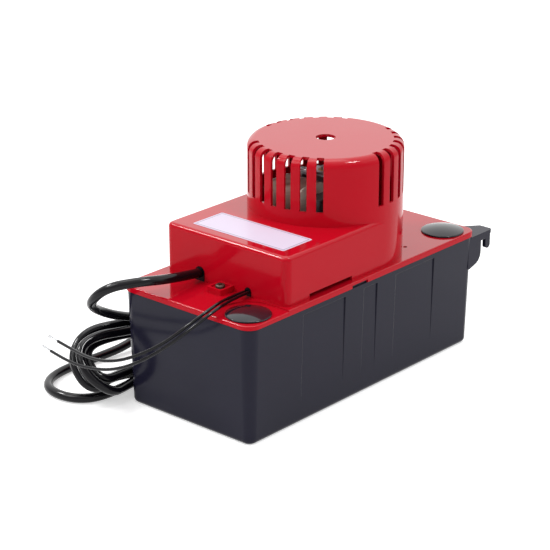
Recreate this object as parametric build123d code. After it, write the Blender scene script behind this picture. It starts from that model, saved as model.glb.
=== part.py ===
from build123d import *
import math
import os

# Tank-type condensate pump, in millimetres. The origin is the centre of the tank's flat bottom,
# +Z is up, +X points at the end with the hanging ears, and -Y at the side of the inlet plugs.

os.makedirs("parts", exist_ok=True)

# ---------------------------------------------------------------- driving dimensions
# lid (deck)
deck_length = 259.5
deck_width = 123.5
deck_top = 92.0
deck_plate = 2.5
deck_corner_r = 9.7
deck_edge_r = 1.0
skirt_drop = 4.2
skirt_wall = 1.7
corner_step = 1.0
corner_step_r = 22.6
lip_depth = 4.5
lip_wall = 1.6

# tank
tank_wall = 2.5
tank_floor = 3.0
tank_draft = 1.7
tank_inset = 0.75
tank_corner_r = 9.0
tank_foot_r = 4.0
rim_wall = 1.2
rim_gap = 0.25
panel_depth = 1.0
panel_bottom = 17.0
panel_spans = [(-73.0, -27.0), (-6.0, 9.3), (31.0, 77.0)]

# hanging ears
ear_reach = 21.75
ear_tip_x = deck_length / 2 + ear_reach
ear_web = 2.8
ear_top = 86.5
ear_plate = 2.7
ear_root = 36.0
ear_tip_width = 12.0
prong_width = 6.0
slot_width = 5.7
slot_top = 80.8
prong_bottom = 72.4
gusset_bottom = 61.5

# inlets and their plugs
inlet_bore = 28.6
front_inset = (18.15, 17.75)
rear_inset = (20.45, 17.95)
inlet_front = (front_inset[0] - deck_length / 2, front_inset[1] - deck_width / 2)
inlet_rear = (deck_length / 2 - rear_inset[0], rear_inset[1] - deck_width / 2)
plug_flange = 32.4
plug_flange_thick = 1.2
plug_dome = 2.4
plug_wall = 1.6
plug_stem = 9.0
plug_fit = 0.3
plug_seat_gap = 0.05

# motor cover
cover_front_x = -87.4
cover_half_width = 57.7
cover_wall = 2.2
box_top = 128.5
tower_x = 22.1
tower_top = 178.2
box_corner_r = 5.5
box_edge_r = 3.2
tower_edge_r = 6.5
tower_hole = 14.5
vent_slot_width = 5.2
vent_slot_pitch = 12.0
vent_slots_per_group = 7
vent_group_angles = (60.0, 180.0, 300.0)
vent_slot_bottom = 139.5
vent_slot_inner_r = 49.8
side_gate = (-63.0, -16.2, 3.5)

# cord and lead gates in the cover's front wall
mains_gate_y = 24.2
mains_gate_width = 9.0
mains_gate_height = 10.5
lead_gate_y = -21.9
lead_gate_width = 5.6
lead_gate_height = 6.4
gate_fit = 0.15

# square lug on the cover and its screw
lug_size = 13.6
lug_height = 4.3
lug_y = -1.7
lug_rim = 1.5
lug_recess = 1.2
screw_d = 3.5
screw_head_d = 7.0
screw_head_h = 2.4

# blank rating label
label_x = (-77.6, -46.6)
label_y = (-46.2, 40.0)
label_thick = 0.25

# motor: a C-frame stack lying flat, its shaft upright under the tower
stack_bottom = 123.0
stack_height = 22.0
stack_right = 25.0
stack_half_width = 27.0
bore_d = 26.8
air_gap = 0.4
rotor_proud = 1.2
leg_width = 13.0
window_width = 9.9
window_half = 16.0
bridge_width = 3.1
coil_wall_z = 6.5
coil_wall_x = 7.6
coil_round = 8.0
window_gap = 0.4
coil_fit = 0.3
bobbin_wall = 1.2
shaft_d = 6.3
shaft_top = 156.0
shaft_fit = 0.05
bush_d = 11.0
hub_d = 16.0
hub_length = 7.0
bracket_plate = 2.0
bracket_width = 18.0
bracket_rise = 4.0
post_d = 8.0
post_y = 21.5
motor_screw_d = 4.0
motor_nut_h = 3.0
motor_nut_w = 7.0
ring_wire = 1.6
ring_x = 12.5
ring_y = (13.6, 19.5)

# cooling fan on the shaft, between the lid and the motor
fan_r = 14.6
fan_bottom = 97.0
fan_height = 8.0
fan_hub_d = 12.0
fan_blades = 7
fan_blade = 1.0

# pump under the lid
column_od = 27.0
column_wall = 2.4
column_flange = 40.0
column_vent = (44.0, 62.0)
column_vent_half = 5.0
flange_thick = 3.0
volute_r = 27.0
volute_bottom = 11.0
volute_height = 17.0
volute_wall = 2.2
impeller_r = 21.0
impeller_height = 8.0
impeller_blades = 6
impeller_blade = 1.4
blade_root = 4.5
blade_bend = (13.0, 3.6)
blade_tip_y = 0.4
impeller_hub_d = 12.0
intake_d = 15.0
outlet_od = 13.0
hose_wall = 1.8
outlet_y = 19.0
outlet_z = 19.5

# check valve at the rear corner of the lid
valve_inset = (20.45, 17.55)
valve_at = (deck_length / 2 - valve_inset[0], deck_width / 2 - valve_inset[1])
valve_od = 22.0
valve_wall = 2.6
valve_hex = 27.0
valve_hex_h = 6.0
valve_nut_w = 24.0
valve_nut_h = 5.0
valve_body_top = 112.0
valve_bottom = 78.0
seat_bore = 8.5
poppet_d = 12.0
spigot_bore = 6.8
spigot_od = 9.6
spigot_length = 22.0
thread_depth = 8.0

# float, its arm and the push rod
float_length = 46.0
float_width = 58.0
float_height = 20.0
float_centre = (-68.0, 44.0)
pivot = (-14.0, 72.0)
arm_width = 8.0
arm_thick = 3.0
pin_d = 3.0
pin_fit = 0.06
ear_gap = 0.5
bracket_ear = 2.5
rod_reach = 18.0
rod_d = 4.0
rod_gap = 0.6
rod_guide = 2.0
bar_half = 10.0
bar_height = 2.0
bar_depth = 2.4

# micro switches over the push rod, run switch at +Y and safety switch at -Y
switch_length = 27.8
switch_width = 10.3
switch_height = 15.9
switch_plate = 2.0
switch_screw_d = 2.8
bracket_screw_head = (5.6, 2.0)
switch_foot_thick = 1.5
lever_length = 20.0
lever_slope = 22.3
lever_thick = 0.6
lever_width = 4.5
lever_gap = 0.3
lever_eye_r = 1.9
lever_pin_r = 1.0
lever_pin_fit = 0.06
plunger_at = 4.5
plunger_width = 3.0
plunger_gap = 0.35
plunger_length = 6.0

# mains cord, alarm leads and plug
cord_d = 7.0
lead_d = 2.3
lead_core_d = 1.5
lead_bare = 12.0
coil_bundle_r = 8.5
coil_bend_r = 10.0
plug_length = 38.0
plug_width = 26.0
plug_height = 22.0
plug_neck_d = 12.0
blade = (17.0, 1.5, 6.3)
blade_pitch = 12.7
ground_pin_d = 4.8
ground_pin_length = 21.0

part_list = {}


def keep(name, shape):
    """Writes one sub-part and remembers it for the printed summary."""
    solids = shape.solids()
    body = solids[0] if len(solids) == 1 else Compound(children=list(solids))
    body.label = name
    export_step(body, f"parts/{name}.step")
    part_list[name] = body
    return body


def rounded_block(length, width, corner_r, bottom, top, centre=(0.0, 0.0)):
    """A block with upright rounded corners between two heights."""
    sketch = Pos(centre[0], centre[1], bottom) * RectangleRounded(length, width, corner_r)
    return extrude(sketch, amount=top - bottom)


def drafted_block(length, width, corner_r, bottom, top, draft):
    """A block that is widest at its top, with drafted walls and rounded corners."""
    head = Pos(0, 0, top) * RectangleRounded(length, width, corner_r)
    return extrude(head, amount=bottom - top, taper=draft)


def rod(radius, bottom, top, at=(0.0, 0.0)):
    """An upright cylinder between two heights."""
    return Pos(at[0], at[1], (bottom + top) / 2) * Cylinder(radius, top - bottom)


def tube(outer, inner, bottom, top, at=(0.0, 0.0)):
    """An upright tube between two heights, by its radii."""
    return rod(outer, bottom, top, at) - rod(inner, bottom - 1, top + 1, at)


def block(x, y, z):
    """A box from its low and high limits along each axis."""
    return Pos(sum(x) / 2, sum(y) / 2, sum(z) / 2) * Box(x[1] - x[0], y[1] - y[0], z[1] - z[0])


def along_y(radius, low, high, x, z):
    """A cylinder across the pump, along Y."""
    return Pos(x, (low + high) / 2, z) * Rot(90, 0, 0) * Cylinder(radius, high - low)


def edges_at_height(shape, height):
    """The edges of a shape that lie at one height."""
    return [e for e in shape.edges() if abs(e.bounding_box().min.Z - height) < 1e-4
            and abs(e.bounding_box().max.Z - height) < 1e-4]


# ---------------------------------------------------------------- tank
deck_bottom = deck_top - deck_plate
skirt_bottom = deck_top - skirt_drop
tank_top = skirt_bottom - rim_gap
tank_length = deck_length - 2 * tank_inset
tank_width = deck_width - 2 * tank_inset
rim_length = deck_length - 2 * (skirt_wall + rim_gap)
rim_width = deck_width - 2 * (skirt_wall + rim_gap)
rim_corner_r = deck_corner_r - skirt_wall - rim_gap
rim_top = deck_bottom - rim_gap
cavity_length = rim_length - 2 * rim_wall
cavity_width = rim_width - 2 * rim_wall
cavity_corner_r = rim_corner_r - rim_wall


def make_ear():
    """One hanging ear: a top plate that narrows to its tip, over a web with the hooked slot."""
    outside = -tank_width / 2 + 0.3
    root_x = deck_length / 2 - tank_wall - 6.5
    tip_front = ear_tip_x - 3.0
    with BuildSketch(Plane.XY.offset(ear_top - ear_plate)) as plan:
        with BuildLine():
            Polyline((root_x, outside), (tip_front, outside))
            ThreePointArc((tip_front, outside), (ear_tip_x - 0.9, outside + 0.9), (ear_tip_x, outside + 3.0))
            Polyline((ear_tip_x, outside + 3.0), (ear_tip_x, outside + ear_tip_width),
                     (ear_tip_x - 12.0, outside + ear_root - 14.0),
                     (deck_length / 2 - tank_wall - 1, outside + ear_root),
                     (root_x, outside + ear_root - 10.0), (root_x, outside))
        make_face()
    plate = extrude(plan.sketch, amount=ear_plate)
    slot_right = tip_front - prong_width
    slot_left = slot_right - slot_width
    radius = prong_width / 2
    web_plane = Plane(origin=(0, outside + ear_web, 0), x_dir=(1, 0, 0), z_dir=(0, -1, 0))
    with BuildSketch(web_plane) as side:
        with BuildLine():
            Polyline((root_x, ear_top - 1), (tip_front, ear_top - 1), (tip_front, prong_bottom + radius))
            ThreePointArc((tip_front, prong_bottom + radius), (tip_front - radius, prong_bottom),
                          (slot_right, prong_bottom + radius))
            Polyline((slot_right, prong_bottom + radius), (slot_right, slot_top), (slot_left, slot_top),
                     (slot_left, gusset_bottom + 10.5))
            RadiusArc((slot_left, gusset_bottom + 10.5), (slot_left - 6.0, gusset_bottom + 2.0), 9.0)
            Polyline((slot_left - 6.0, gusset_bottom + 2.0), (root_x + 2.0, gusset_bottom - 0.5),
                     (root_x, gusset_bottom), (root_x, ear_top - 1))
        make_face()
    web = extrude(side.sketch, amount=ear_web)
    return plate + web


def make_tank():
    """The moulded tank with its stepped rim, foot radius, side panels and two hanging ears."""
    outer = drafted_block(tank_length, tank_width, tank_corner_r, 0.0, tank_top, tank_draft)
    outer = fillet(edges_at_height(outer, 0.0), tank_foot_r)
    lean = math.tan(math.radians(tank_draft))
    # the panels stand upright in the drafted wall, so they fade out towards the bottom
    for side in (-1, 1):
        fade = tank_width / 2 - (tank_top - panel_bottom) * lean
        for low_x, high_x in panel_spans:
            upper = tank_width / 2 - panel_depth
            with BuildSketch(Plane.YZ.offset(low_x)) as cut:
                with BuildLine():
                    Polyline((side * upper, tank_top - 4.0), (side * (upper + 9.0), tank_top - 4.0),
                             (side * (upper + 9.0), panel_bottom), (side * fade, panel_bottom),
                             (side * upper, tank_top - 4.0))
                make_face()
            outer -= extrude(cut.sketch, amount=high_x - low_x)
    rim_foot = tank_top - 3.0
    rim = rounded_block(rim_length, rim_width, rim_corner_r, rim_foot, rim_top)
    ear = make_ear()
    body = outer + rim + ear + mirror(ear, Plane.XZ)
    hollow = drafted_block(cavity_length, cavity_width, cavity_corner_r, tank_floor, rim_foot, tank_draft)
    neck = rounded_block(cavity_length, cavity_width, cavity_corner_r, rim_foot, rim_top + 1)
    return body - (hollow + neck)


keep("tank", make_tank())


# ---------------------------------------------------------------- lid
bar_bottom = deck_top + rod_guide + 1.0
rod_x = pivot[0] - rod_reach
rod_fit = 0.3
float_foot = (rod_x + 4.0, pivot[0] + 6.0)
switch_foot = (rod_x - lever_length - 6.0, rod_x - 6.0)
foot_half = 12.0
foot_thick = 2.5
foot_screw_inset = 3.5
lug_x = cover_front_x - lug_size / 2
post_top = stack_bottom - bracket_plate
tower_inner_r = cover_half_width - cover_wall
tab_x = tower_x + tower_inner_r - 0.3
tab_fit = 0.3
tab_width = 14.0
tab_thick = 1.8
latch_notch = (-20.5, -3.0, 2.2)
air_vent = (63.1, -43.9, 1.6)
column_screw_ring = 16.5
column_screw_d = 3.0
valve_hole_fit = 0.4


def deck_slab(top):
    """The lid's outer form up to one height, with its rounded top edge."""
    slab = rounded_block(deck_length, deck_width, deck_corner_r, skirt_bottom, top)
    return fillet(edges_at_height(slab, top), deck_edge_r)


def corner_zone():
    """The plan of the lowered corner round the front inlet, as a tall prism."""
    x, y = inlet_front
    low = skirt_bottom - 5
    high = deck_top + 5
    return (rod(corner_step_r, low, high, inlet_front)
            + block((-deck_length, x), (-deck_width, y + corner_step_r), (low, high))
            + block((-deck_length, x + corner_step_r), (-deck_width, y), (low, high)))


def make_deck():
    """The lid: plate, skirt, locating lip, lowered corner, motor posts and its holes."""
    zone = corner_zone()
    low_top = deck_top - corner_step
    body = (deck_slab(deck_top) - zone) + (deck_slab(low_top) & zone)
    inside_r = deck_corner_r - skirt_wall
    body -= rounded_block(deck_length - 2 * skirt_wall, deck_width - 2 * skirt_wall, inside_r,
                          skirt_bottom - 1, deck_bottom)
    lip_length = cavity_length - 4 * rim_gap
    lip_width = cavity_width - 4 * rim_gap
    lip_r = cavity_corner_r - 2 * rim_gap
    lip = rounded_block(lip_length, lip_width, lip_r, deck_bottom - lip_depth, deck_bottom)
    lip -= rounded_block(lip_length - 2 * lip_wall, lip_width - 2 * lip_wall, lip_r - lip_wall,
                         deck_bottom - lip_depth - 1, deck_bottom + 1)
    body += lip
    for side in (-1, 1):
        body += rod(post_d / 2, deck_top - 0.5, post_top, (tower_x, side * post_y))
    body += rod(rod_d / 2 + 2.6, deck_top - 0.5, deck_top + rod_guide, (rod_x, 0))
    for at in (inlet_front, inlet_rear):
        body -= rod(inlet_bore / 2, deck_bottom - lip_depth - 1, deck_top + 1, at)
    body -= rod(shaft_d / 2 + 2, deck_bottom - 1, deck_top + 1, (tower_x, 0))
    body -= rod(rod_d / 2 + rod_fit, deck_bottom - 1, deck_top + rod_guide + 1, (rod_x, 0))
    body -= rod(valve_od / 2 + valve_hole_fit, deck_bottom - 1, deck_top + 1, valve_at)
    body -= rod(air_vent[2], deck_bottom - 1, deck_top + 1, air_vent[:2])
    body -= rod(screw_d / 2, deck_bottom - 1, deck_top + 1, (lug_x, lug_y))
    for side in (-1, 1):
        body -= rod(motor_screw_d / 2, deck_top + 6, post_top + 1, (tower_x, side * post_y))
    for at in column_screw_places():
        body -= rod(column_screw_d / 2, deck_bottom - 1, deck_top + 1, at)
    for at in bracket_screw_places(float_foot) + bracket_screw_places(switch_foot):
        body -= rod(column_screw_d / 2, deck_bottom - 1, deck_top + 1, at)
    body -= block((tab_x - tab_fit, tab_x + tab_thick + tab_fit),
                  (-tab_width / 2 - tab_fit, tab_width / 2 + tab_fit), (deck_bottom - 1, deck_top + 1))
    for side in (-1, 1):
        notch = block(latch_notch[:2], (deck_width / 2 - skirt_wall - 0.5, deck_width / 2 + 1),
                      (skirt_bottom - 1, skirt_bottom + latch_notch[2]))
        body -= notch if side == 1 else mirror(notch, Plane.XZ)
    return body


def column_screw_places():
    """The three screws that hold the pump column under the lid."""
    return [(tower_x + column_screw_ring * math.cos(math.radians(a)),
             column_screw_ring * math.sin(math.radians(a))) for a in (0, 140, 220)]


def bracket_screw_places(foot):
    """The two screw places of a bracket foot."""
    middle = sum(foot) / 2
    return [(middle, side * (foot_half - foot_screw_inset)) for side in (-1, 1)]


keep("deck", make_deck())


# ---------------------------------------------------------------- inlet plugs
def make_plug(at, seat):
    """A hollow inlet plug with a low domed head that rests on the lid round its hole."""
    rim = plug_flange / 2
    stem_r = inlet_bore / 2 - plug_fit
    dome_r = (rim ** 2 + plug_dome ** 2) / (2 * plug_dome)
    dome_centre = Pos(0, 0, plug_flange_thick + plug_dome - dome_r)
    flange = rod(rim, 0, plug_flange_thick)
    flange = fillet(edges_at_height(flange, 0) + edges_at_height(flange, plug_flange_thick), 0.4)
    body = rod(stem_r, -plug_stem, plug_flange_thick) + flange
    body += dome_centre * Sphere(dome_r) & rod(rim - 0.4, 0.2, plug_flange_thick + 2 * plug_dome)
    hollow = rod(stem_r - plug_wall, -plug_stem - 1, 3 * plug_dome)
    hollow &= dome_centre * Sphere(dome_r - plug_wall)
    return Pos(at[0], at[1], seat + plug_seat_gap) * (body - hollow)


keep("inlet_plug_front", make_plug(inlet_front, deck_top - corner_step))
keep("inlet_plug_rear", make_plug(inlet_rear, deck_top))


# ---------------------------------------------------------------- motor cover
def cover_outline(inset):
    """The cover's plan: a square front with rounded corners running into a round tower."""
    half = cover_half_width - inset
    front = cover_front_x + inset
    corner = box_corner_r - inset
    diag = corner * (1 - math.sqrt(0.5))
    with BuildSketch() as plan:
        with BuildLine():
            Line((tower_x, -half), (front + corner, -half))
            ThreePointArc((front + corner, -half), (front + diag, -half + diag), (front, -half + corner))
            Line((front, -half + corner), (front, half - corner))
            ThreePointArc((front, half - corner), (front + diag, half - diag), (front + corner, half))
            Line((front + corner, half), (tower_x, half))
            ThreePointArc((tower_x, half), (tower_x + half, 0), (tower_x, -half))
        make_face()
    return plan.sketch


def cover_form(inset):
    """Box and tower together as one solid, drawn in by an inset."""
    low = deck_top - (1.0 if inset else 0.0)
    box_high = box_top - inset
    tower_high = tower_top - inset
    half = cover_half_width - inset
    box = extrude(Pos(0, 0, low) * cover_outline(inset), amount=box_high - low)
    box = fillet(edges_at_height(box, box_high), box_edge_r - inset * 0.9)
    tower = rod(half, low, tower_high, (tower_x, 0))
    tower = fillet(edges_at_height(tower, tower_high), tower_edge_r - inset)
    return box + tower


def vent_slot(angle):
    """The cutter of one cooling slot, through the tower's wall and over its shoulder."""
    cutter = block((vent_slot_inner_r, cover_half_width + 3), (-vent_slot_width / 2, vent_slot_width / 2),
                   (vent_slot_bottom, tower_top + 3))
    return Pos(tower_x, 0, 0) * Rot(0, 0, angle) * cutter


def gate(y, width, height, fit=0.0):
    """An arched gate through the front wall, or the bush that fills it when a fit is taken off."""
    w = width - 2 * fit
    h = height - fit
    with BuildSketch(Plane.YZ.offset(cover_front_x - 2)) as arch:
        with BuildLine():
            Polyline((y - w / 2, deck_top + (0 if fit else -2)), (y - w / 2, deck_top + h - w / 2))
            ThreePointArc((y - w / 2, deck_top + h - w / 2), (y, deck_top + h),
                          (y + w / 2, deck_top + h - w / 2))
            Polyline((y + w / 2, deck_top + h - w / 2), (y + w / 2, deck_top + (0 if fit else -2)),
                     (y - w / 2, deck_top + (0 if fit else -2)))
        make_face()
    return extrude(arch.sketch, amount=cover_wall + 4)


def make_cover():
    """The red motor cover: box, slotted tower, gates, screw lug and rear tab."""
    body = cover_form(0.0) - cover_form(cover_wall)
    first = -(vent_slots_per_group - 1) / 2 * vent_slot_pitch
    for middle in vent_group_angles:
        for step in range(vent_slots_per_group):
            body -= vent_slot(middle + first + step * vent_slot_pitch)
    body -= rod(tower_hole / 2, tower_top - cover_wall - 1, tower_top + 1, (tower_x, 0))
    low_x, high_x, height = side_gate
    body -= block((low_x, high_x), (-cover_half_width - 2, cover_half_width + 2),
                  (deck_top - 1, deck_top + height))
    body -= gate(mains_gate_y, mains_gate_width, mains_gate_height)
    body -= gate(lead_gate_y, lead_gate_width, lead_gate_height)
    lug = rounded_block(lug_size, lug_size, 1.2, deck_top, deck_top + lug_height, (lug_x, lug_y))
    lug += block((lug_x, cover_front_x + 1), (lug_y - lug_size / 2, lug_y + lug_size / 2),
                 (deck_top, deck_top + lug_height))
    recess = lug_size - 2 * lug_rim
    lug -= rounded_block(recess, recess, 0.8, deck_top + lug_height - lug_recess, deck_top + lug_height + 1,
                         (lug_x, lug_y))
    lug -= rod(screw_d / 2 + 0.3, deck_top - 1, deck_top + lug_height + 1, (lug_x, lug_y))
    body += lug
    tab = block((tab_x, tab_x + tab_thick), (-tab_width / 2, tab_width / 2),
                (deck_bottom - 1.6, deck_top + 4))
    return body + tab


keep("motor_cover", make_cover())

label_plan = (sum(label_x) / 2, sum(label_y) / 2)
keep("rating_label", rounded_block(label_x[1] - label_x[0], label_y[1] - label_y[0], 1.2, box_top,
                                   box_top + label_thick, label_plan))


def make_screw(at, head_bottom, shank_bottom, shank_d, head_d, head_h):
    """A pan-head screw with a cross recess, pointing down."""
    head = rod(head_d / 2, head_bottom, head_bottom + head_h, at)
    head = fillet(edges_at_height(head, head_bottom + head_h), head_h * 0.4)
    slot = Pos(at[0], at[1], head_bottom + head_h) * (Box(head_d * 0.55, head_d * 0.14, head_h)
                                                       + Box(head_d * 0.14, head_d * 0.55, head_h))
    return head + rod(shank_d / 2, shank_bottom, head_bottom, at) - slot


def group(*shapes):
    """Separate solids kept as one node."""
    return Compound(children=[s for shape in shapes for s in shape.solids()])


lug_seat = deck_top + lug_height - lug_recess
keep("cover_screw", make_screw((lug_x, lug_y), lug_seat, deck_bottom - 4,
                               screw_d - 0.1, screw_head_d, screw_head_h))


# ---------------------------------------------------------------- cord and lead bushes
mains_exit_z = deck_top + mains_gate_height - mains_gate_width / 2 - gate_fit
lead_pitch = lead_d + 0.4
lead_exit_z = deck_top + lead_gate_height - lead_gate_width / 2 - gate_fit
bush_proud = 0.6
bush_flange = 2.0


def make_bush(y, width, height):
    """An arched bush in a gate, a little proud of the wall, with a wider flange inside it."""
    plug = gate(y, width, height, gate_fit)
    keep_x = (cover_front_x - bush_proud, cover_front_x + cover_wall + gate_fit)
    plug = plug & block(keep_x, (y - width, y + width), (deck_top - 1, deck_top + height + 1))
    inner = block((keep_x[1], keep_x[1] + bush_flange), (y - width / 2 - 1.5, y + width / 2 + 1.5),
                  (deck_top, deck_top + height + 1.5))
    return plug + inner


keep("mains_bush", make_bush(mains_gate_y, mains_gate_width, mains_gate_height))
keep("lead_bush", make_bush(lead_gate_y, lead_gate_width, lead_gate_height))

# ---------------------------------------------------------------- motor
leg_left = tower_x - bore_d / 2 - bridge_width - window_width - leg_width
leg_centre = leg_left + leg_width / 2
stack_top = stack_bottom + stack_height
stack_mid = stack_bottom + stack_height / 2


def make_stack():
    """The lamination stack: outline, coil window, rotor bore and bolt holes."""
    right = tower_x + stack_right
    centre = ((leg_left + right) / 2, 0)
    body = rounded_block(right - leg_left, 2 * stack_half_width, 3.0, stack_bottom, stack_top, centre)
    window_left = leg_left + leg_width
    body -= block((window_left, window_left + window_width), (-window_half, window_half),
                  (stack_bottom - 1, stack_top + 1))
    body -= rod(bore_d / 2, stack_bottom - 1, stack_top + 1, (tower_x, 0))
    for side in (-1, 1):
        body -= rod(motor_screw_d / 2 + 0.2, stack_bottom - 1, stack_top + 1, (tower_x, side * post_y))
        for shift in (-1, 1):
            for y in ring_y:
                body -= rod(ring_wire / 2 + 0.1, stack_bottom - 1, stack_top + 1,
                            (tower_x + shift * ring_x, side * y))
    return body


keep("stator_laminations", make_stack())

bobbin_half = window_half - window_gap
coil_x = leg_width + 2 * (coil_fit + bobbin_wall)
coil_z = stack_height + 2 * (coil_fit + bobbin_wall)
wound_x = coil_x + 2 * coil_wall_x
wound_z = coil_z + 2 * coil_wall_z


def along_leg(width, height, corner, length, centre_y=0.0):
    """A rounded bar lying along the wound leg, centred on it."""
    plane = Plane(origin=(leg_centre, centre_y + length / 2, stack_mid), x_dir=(1, 0, 0), z_dir=(0, -1, 0))
    return extrude(plane * RectangleRounded(width, height, corner), amount=length)


leg_hole = along_leg(leg_width + 2 * coil_fit, stack_height + 2 * coil_fit, 0.4, 4 * bobbin_half)
bobbin = along_leg(coil_x, coil_z, 1.4, 2 * bobbin_half)
for end in (-1, 1):
    bobbin += along_leg(wound_x, wound_z, coil_round, bobbin_wall, end * (bobbin_half - bobbin_wall / 2))
keep("coil_bobbin", bobbin - leg_hole)
winding = along_leg(wound_x, wound_z, coil_round, 2 * (bobbin_half - bobbin_wall))
keep("taped_winding", winding - along_leg(coil_x, coil_z, 1.4, 4 * bobbin_half))


def make_bracket():
    """The upper bearing bracket: two feet on the stack, a raised bridge and a hub."""
    step = stack_top + bracket_rise
    with BuildSketch(Plane.YZ.offset(tower_x - bracket_width / 2)) as side:
        with BuildLine():
            Polyline((-26.5, stack_top), (-16.5, stack_top), (-14.0, step), (14.0, step), (16.5, stack_top),
                     (26.5, stack_top), (26.5, stack_top + bracket_plate), (17.5, stack_top + bracket_plate),
                     (15.0, step + bracket_plate), (-15.0, step + bracket_plate),
                     (-17.5, stack_top + bracket_plate), (-26.5, stack_top + bracket_plate),
                     (-26.5, stack_top))
        make_face()
    body = extrude(side.sketch, amount=bracket_width)
    hub_low = step + bracket_plate / 2 - hub_length / 2
    body += rod(hub_d / 2, hub_low, hub_low + hub_length, (tower_x, 0))
    body -= rod(bush_d / 2, stack_top - 5, stack_top + 20, (tower_x, 0))
    for side in (-1, 1):
        body -= rod(motor_screw_d / 2 + 0.2, stack_top - 1, stack_top + 9, (tower_x, side * post_y))
    return body


upper_bracket = make_bracket()
hub_low = stack_top + bracket_rise + bracket_plate / 2 - hub_length / 2
upper_bush = tube(bush_d / 2, shaft_d / 2 + shaft_fit, hub_low, hub_low + hub_length, (tower_x, 0))
middle_plane = Plane.XY.offset(stack_mid)
keep("upper_bearing_bracket", upper_bracket)
keep("lower_bearing_bracket", mirror(upper_bracket, middle_plane))
keep("upper_bearing_bush", upper_bush)
keep("lower_bearing_bush", mirror(upper_bush, middle_plane))

screw_low = deck_top + 7
motor_screws = [make_screw((tower_x, side * post_y), stack_top + bracket_plate, screw_low, motor_screw_d - 0.1,
                           motor_nut_w, motor_nut_h) for side in (-1, 1)]
keep("motor_screws", group(*motor_screws))


def shading_ring(shift, side):
    """One copper shading ring, a closed loop of wire round a pole corner."""
    x = tower_x + shift * ring_x
    near, far = side * ring_y[0], side * ring_y[1]
    low = stack_bottom - ring_wire / 2
    high = stack_top + ring_wire / 2
    ring = rod(ring_wire / 2, low, high, (x, near)) + rod(ring_wire / 2, low, high, (x, far))
    for z in (low, high):
        ring += along_y(ring_wire / 2, min(near, far), max(near, far), x, z)
    return ring


keep("shading_rings", group(*[shading_ring(shift, side) for shift in (-1, 1) for side in (-1, 1)]))

keep("rotor_core", tube(bore_d / 2 - air_gap, shaft_d / 2, stack_bottom - rotor_proud, stack_top + rotor_proud,
                        (tower_x, 0)))

# ---------------------------------------------------------------- pump
volute_top = volute_bottom + volute_height
shaft_bottom = volute_bottom + 3.0
keep("motor_shaft", rod(shaft_d / 2, shaft_bottom, shaft_top, (tower_x, 0)))


def make_fan():
    """The cooling fan: a hub with pitched blades."""
    body = tube(fan_hub_d / 2, shaft_d / 2, fan_bottom, fan_bottom + fan_height, (tower_x, 0))
    mid = fan_bottom + fan_height / 2
    inner = fan_hub_d / 2 - 0.6
    for index in range(fan_blades):
        blade = Box(fan_r - inner, fan_blade, fan_height * 0.9)
        blade = Pos((inner + fan_r) / 2, 0, 0) * Rot(35, 0, 0) * blade
        body += Pos(tower_x, 0, mid) * Rot(0, 0, index * 360 / fan_blades) * blade
    return body


keep("cooling_fan", make_fan())


def make_column():
    """The tube that hangs the pump under the lid, with its flange and two drain windows."""
    body = tube(column_od / 2, column_od / 2 - column_wall, volute_top, deck_bottom, (tower_x, 0))
    body += tube(column_flange / 2, column_od / 2 - column_wall, deck_bottom - flange_thick, deck_bottom,
                 (tower_x, 0))
    body -= block((tower_x - column_vent_half, tower_x + column_vent_half), (-column_od, column_od),
                  column_vent)
    for at in column_screw_places():
        body -= rod(column_screw_d / 2, deck_bottom - flange_thick - 1, deck_bottom + 1, at)
    return body


keep("pump_column", make_column())
column_screws = [make_screw(at, deck_top, deck_bottom - flange_thick, column_screw_d - 0.1, 6.0, 2.0)
                 for at in column_screw_places()]
keep("column_screws", group(*column_screws))

outlet_end = tower_x + volute_r + 10.0


def make_volute():
    """The pump housing: a shallow cup open below, with a tangential outlet."""
    body = rod(volute_r, volute_bottom, volute_top, (tower_x, 0))
    reach = outlet_end - tower_x
    spout = Pos(tower_x + reach / 2, outlet_y, outlet_z) * Rot(0, 90, 0)
    body += spout * Cylinder(outlet_od / 2, reach)
    body -= rod(volute_r - volute_wall, volute_bottom - 1, volute_top - volute_wall, (tower_x, 0))
    body -= spout * Cylinder(outlet_od / 2 - hose_wall, reach + 2)
    body -= rod(shaft_d / 2 + 1.5, volute_bottom, volute_top + 1, (tower_x, 0))
    return body


keep("volute_housing", make_volute())
intake_plate = 2.2
intake_foot = tank_floor + 0.3
strainer_r = 18.0


def make_intake():
    """The intake plate under the housing, with a slotted strainer skirt standing on the floor."""
    low = volute_bottom - intake_plate
    body = tube(volute_r, intake_d / 2, low, volute_bottom, (tower_x, 0))
    skirt = tube(strainer_r, strainer_r - 1.8, intake_foot, low, (tower_x, 0))
    for index in range(8):
        skirt -= Pos(tower_x, 0, intake_foot) * Rot(0, 0, index * 22.5) * Box(3 * strainer_r, 2.4, 6.0)
    return body + skirt


keep("intake_strainer", make_intake())


def make_impeller():
    """The impeller: a hub, a back disc and curved blades under it."""
    disc_top = volute_bottom + 3.0 + impeller_height + 1.6
    disc_low = disc_top - 1.6
    low = volute_bottom + 2.5
    tip = impeller_r - 0.5
    body = rod(impeller_r, disc_low, disc_top, (tower_x, 0))
    body += rod(impeller_hub_d / 2, low, disc_top, (tower_x, 0))
    for index in range(impeller_blades):
        with BuildSketch(Plane.XY.offset(low)) as blade:
            with BuildLine():
                ThreePointArc((blade_root, 0.0), blade_bend, (tip, blade_tip_y))
                Line((tip, blade_tip_y), (tip, blade_tip_y - impeller_blade))
                ThreePointArc((tip, blade_tip_y - impeller_blade),
                              (blade_bend[0], blade_bend[1] - impeller_blade), (blade_root, -impeller_blade))
                Line((blade_root, -impeller_blade), (blade_root, 0.0))
            make_face()
        vane = extrude(blade.sketch, amount=disc_low - low + 0.1)
        body += Pos(tower_x, 0, 0) * Rot(0, 0, index * 360 / impeller_blades) * vane
    return body - rod(shaft_d / 2, shaft_bottom, disc_top + 1, (tower_x, 0))


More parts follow.
